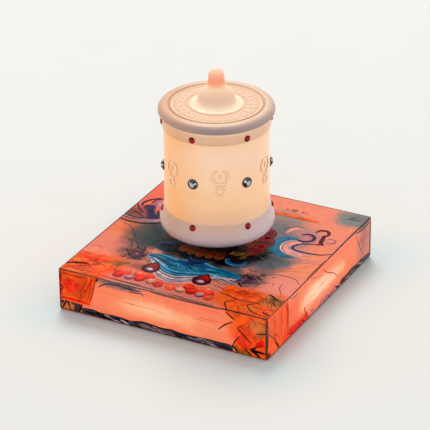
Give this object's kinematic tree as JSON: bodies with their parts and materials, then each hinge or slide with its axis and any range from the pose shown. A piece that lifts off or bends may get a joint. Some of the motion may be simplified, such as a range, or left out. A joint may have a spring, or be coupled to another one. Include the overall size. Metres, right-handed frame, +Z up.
{
  "type": "prayer wheel table lamp",
  "caption": "Table lamp with a lit drum that turns on a spindle above a square printed light-box base, under a lift-off lid with a bell and a bud finial.",
  "frame": {"origin": "on the ground, under the middle of the square base", "axes": "+Z up along the drum's axis of rotation; -Y towards the front face; +X towards the right face; the power socket and button are in the +Y back face"},
  "size_m": [0.2, 0.208, 0.206],
  "materials": {
    "lit_print": "glossy backlit print",
    "opal": "opal, lit",
    "tray": "matt moulded",
    "rubber": "matt",
    "steel": "satin",
    "strip": "white laminate",
    "led": "clear cap, lit",
    "board": "solder mask",
    "chip": "moulded black",
    "battery": "shrink wrap",
    "dark_metal": "dark bronze paint",
    "wire": "soft sleeve",
    "white_plastic": "moulded white",
    "lit_foot": "polished, dimly lit",
    "lit_drum": "polished, lit from inside",
    "scroll": "thin translucent paper",
    "lit_band": "polished, dimly lit",
    "silver": "polished",
    "crystal": "cut and polished",
    "red_stone": "polished",
    "lit_lid": "polished, dimly lit",
    "lit_inlay": "polished, lit",
    "lit_bell": "polished, lit",
    "lit_finial": "polished, lit"
  },
  "bodies": {
    "base": {"base_cover": "lit_print", "top_diffuser": "opal", "base_tray": "tray", "rubber_feet": "rubber", "tray_screws": "steel", "led_strips": "strip", "led_chips": "led", "control_board": "board", "board_chips": "chip", "board_screws": "steel", "usb_socket": "steel", "tact_switch": "chip", "battery_pack": "battery", "battery_strap": "steel", "strap_screws": "steel", "motor_bracket": "steel", "bracket_screws": "steel", "motor_body": "steel", "drive_belt": "rubber", "bearing_housing": "dark_metal", "collar_nut": "dark_metal", "bearing_outer_rings": "steel", "bearing_balls": "steel", "lamp_post": "steel", "post_screws": "steel", "lamp_socket": "opal", "led_column": "strip", "column_chips": "led", "lamp_diffuser": "opal", "wire_loom": "wire"},
    "drum": {"bearing_inner_rings": "steel", "spindle": "dark_metal", "drum_pulley": "white_plastic", "drum_foot": "lit_foot", "drum_hub": "steel", "hub_screws": "steel", "drum_wall": "lit_drum", "scroll_sleeve": "scroll", "upper_band": "lit_band", "drum_ornaments": "lit_drum", "stud_settings": "silver", "crystal_studs": "crystal", "upper_studs": "red_stone", "lower_studs": "red_stone"},
    "lid": {"lid_shell": "lit_lid", "lid_locator": "white_plastic", "lid_inlay": "lit_inlay", "lid_bell": "lit_bell", "finial": "lit_finial", "tie_rod": "steel", "tie_washer": "steel", "tie_nut": "steel"},
    "motor_rotor": {"motor_shaft": "steel", "motor_pulley": "white_plastic"},
    "button": {"power_button": "white_plastic"}
  },
  "joints": [
    {"name": "drum_spin", "type": "hinge", "parent": "base", "child": "drum", "pos_m": [0, 0, 0.0574], "axis": [0, 0, 1], "continuous": true},
    {"name": "lid_lift", "type": "slide", "parent": "drum", "child": "lid", "axis": [0, 0, 1], "range_m": [0, 0.05]},
    {"name": "motor_spin", "type": "hinge", "parent": "base", "child": "motor_rotor", "pos_m": [0, -0.054, 0.0116], "axis": [0, 0, 1], "continuous": true},
    {"name": "button_press", "type": "slide", "parent": "base", "child": "button", "axis": [0, -1, 0], "range_m": [0, 0.0012], "stiffness_N_per_m": 600, "springref_m": -0.0004}
  ],
  "couplings": [
    {"joint": "motor_spin", "follows": "drum_spin", "ratio": 2.6216}
  ]
}
